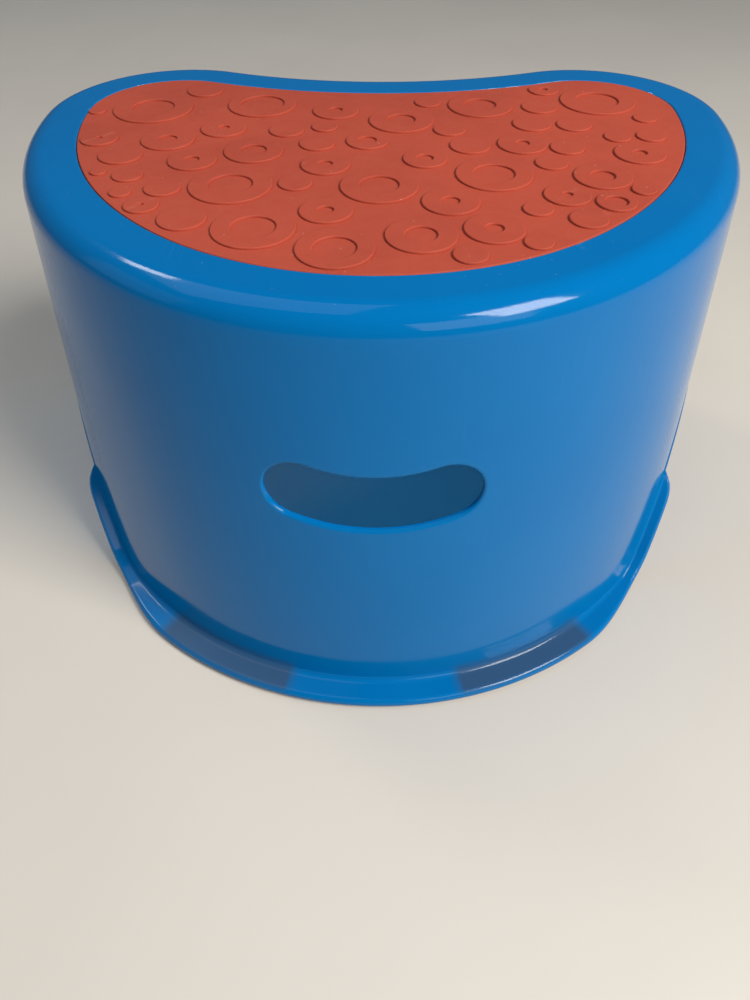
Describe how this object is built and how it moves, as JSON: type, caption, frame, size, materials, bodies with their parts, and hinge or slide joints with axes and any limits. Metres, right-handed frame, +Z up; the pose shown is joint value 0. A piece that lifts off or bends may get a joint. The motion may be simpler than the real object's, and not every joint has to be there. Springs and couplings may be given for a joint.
{
  "type": "child's step stool",
  "caption": "One-piece hollow moulded step stool with a bean-shaped top, soft non-slip mat, smile-shaped hand hole, arched sides and soft foot pads.",
  "frame": {"origin": "on the floor, under the middle of the stool's bounding box", "axes": "+X to the right, seen from the front; -Y towards the front, where the hand hole is; +Z up"},
  "size_m": [0.3608, 0.2991, 0.2039],
  "materials": {
    "shell": "glossy, slightly see-through blue polypropylene",
    "mat": "matte orange-red soft moulded elastomer",
    "foot_pad": "matte orange-red soft moulded elastomer"
  },
  "bodies": {
    "root": {"shell": "shell", "grip_mat": "mat", "front_left_foot_pad": "foot_pad", "front_right_foot_pad": "foot_pad", "rear_left_foot_pad": "foot_pad", "rear_right_foot_pad": "foot_pad"}
  },
  "joints": []
}
